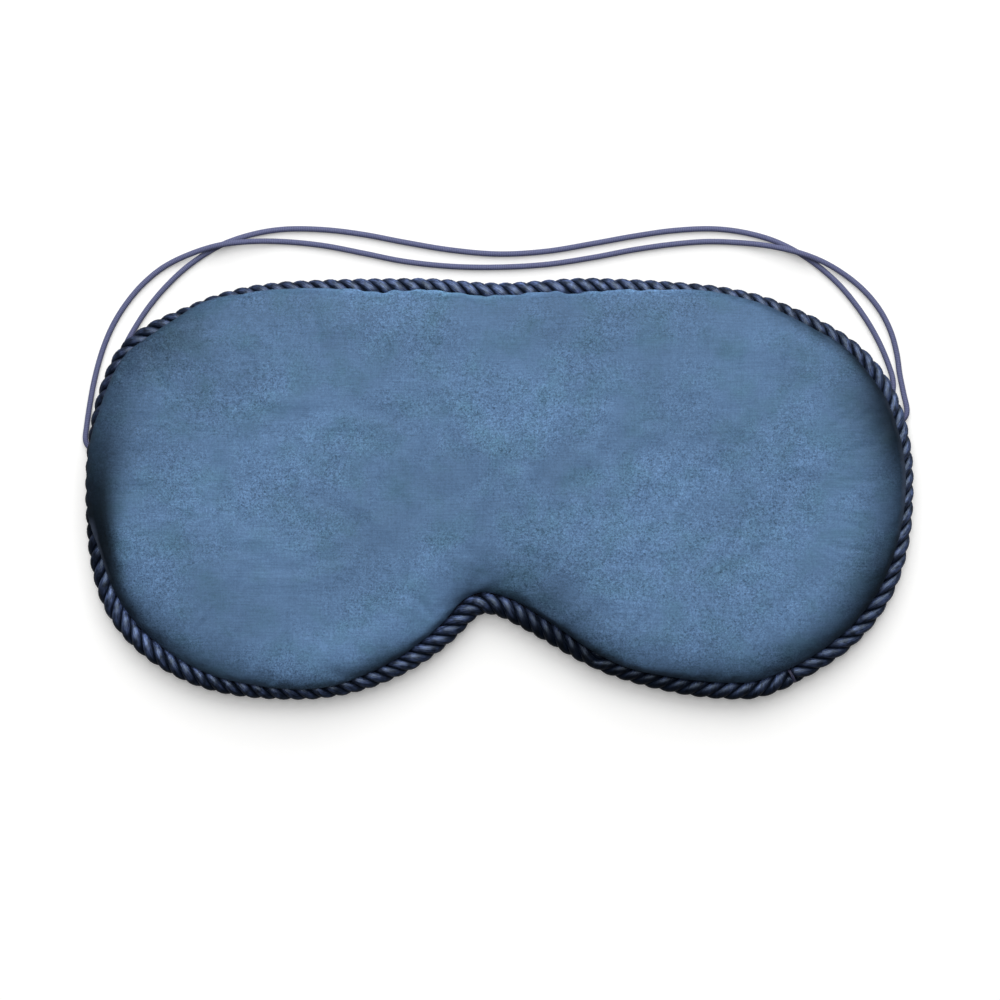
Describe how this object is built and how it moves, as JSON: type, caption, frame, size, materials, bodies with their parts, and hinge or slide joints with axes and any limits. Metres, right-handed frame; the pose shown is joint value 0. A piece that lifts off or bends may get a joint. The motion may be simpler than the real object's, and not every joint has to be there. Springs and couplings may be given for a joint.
{
  "type": "sleep eye mask",
  "caption": "Padded fabric eye mask with a nose notch, a twisted cord edge and a pair of thin round elastics that swing behind the head.",
  "frame": {"origin": "centre of the mask's outline at the flat back face that it rests on", "axes": "+X to the right along the mask's width, +Y towards the brow edge, +Z out of the front panel"},
  "size_m": [0.2076, 0.1183, 0.0125],
  "materials": {
    "face_satin": "blue satin with a soft sheen",
    "lining": "plain blue lining cloth",
    "blackout": "matt black interlining",
    "wadding": "white fibre wadding",
    "tape": "navy woven tape",
    "cord_yarn": "navy rayon yarn with a silky sheen",
    "thread": "navy sewing thread",
    "elastic": "slate-violet braided elastic"
  },
  "bodies": {
    "mask": {"front_panel": "face_satin", "blackout_layer": "blackout", "wadding": "wadding", "back_panel": "lining", "lip_tape": "tape", "seam_stitches": "thread", "edge_cord_ply_1": "cord_yarn", "edge_cord_ply_2": "cord_yarn", "edge_cord_ply_3": "cord_yarn", "cord_join_tack": "thread", "left_outer_bartack": "thread", "left_inner_bartack": "thread", "right_inner_bartack": "thread", "right_outer_bartack": "thread"},
    "inner_elastic": {"inner_elastic": "elastic"},
    "outer_elastic": {"outer_elastic": "elastic"}
  },
  "joints": [
    {"name": "inner_elastic_swing", "type": "hinge", "parent": "mask", "child": "inner_elastic", "pos_m": [0, 0.0135, 0.00115], "axis": [0.9994, 0.0346, 0], "range_deg": [-170, 0]},
    {"name": "outer_elastic_swing", "type": "hinge", "parent": "inner_elastic", "child": "outer_elastic", "pos_m": [0, 0.0135, 0.00115], "axis": [0.9994, 0.0346, 0], "range_deg": [0, 30]}
  ]
}
